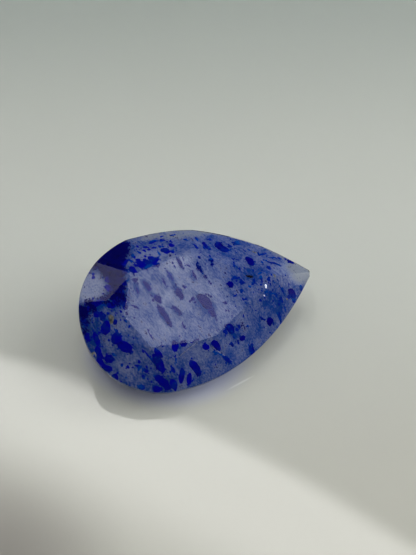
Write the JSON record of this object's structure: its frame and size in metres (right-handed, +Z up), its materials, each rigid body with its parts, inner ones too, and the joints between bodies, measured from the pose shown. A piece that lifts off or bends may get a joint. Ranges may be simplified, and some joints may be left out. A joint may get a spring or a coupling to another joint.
{
  "type": "faceted gemstone",
  "caption": "Pear-cut faceted gemstone in milky clear crystal full of blue grains, lying on a side facet with its table facing up and forward.",
  "frame": {"origin": "bottom centre of the bounding box, on the surface the stone lies on", "axes": "+X along the stone towards its pointed tip, +Z up from the surface, -Y the side it leans to"},
  "size_m": [0.0162, 0.0102, 0.0062],
  "materials": {
    "spotted_crystal": "polished facets over milky, see-through crystal with dark blue grains"
  },
  "bodies": {
    "root": {"gemstone": "spotted_crystal"}
  },
  "joints": []
}
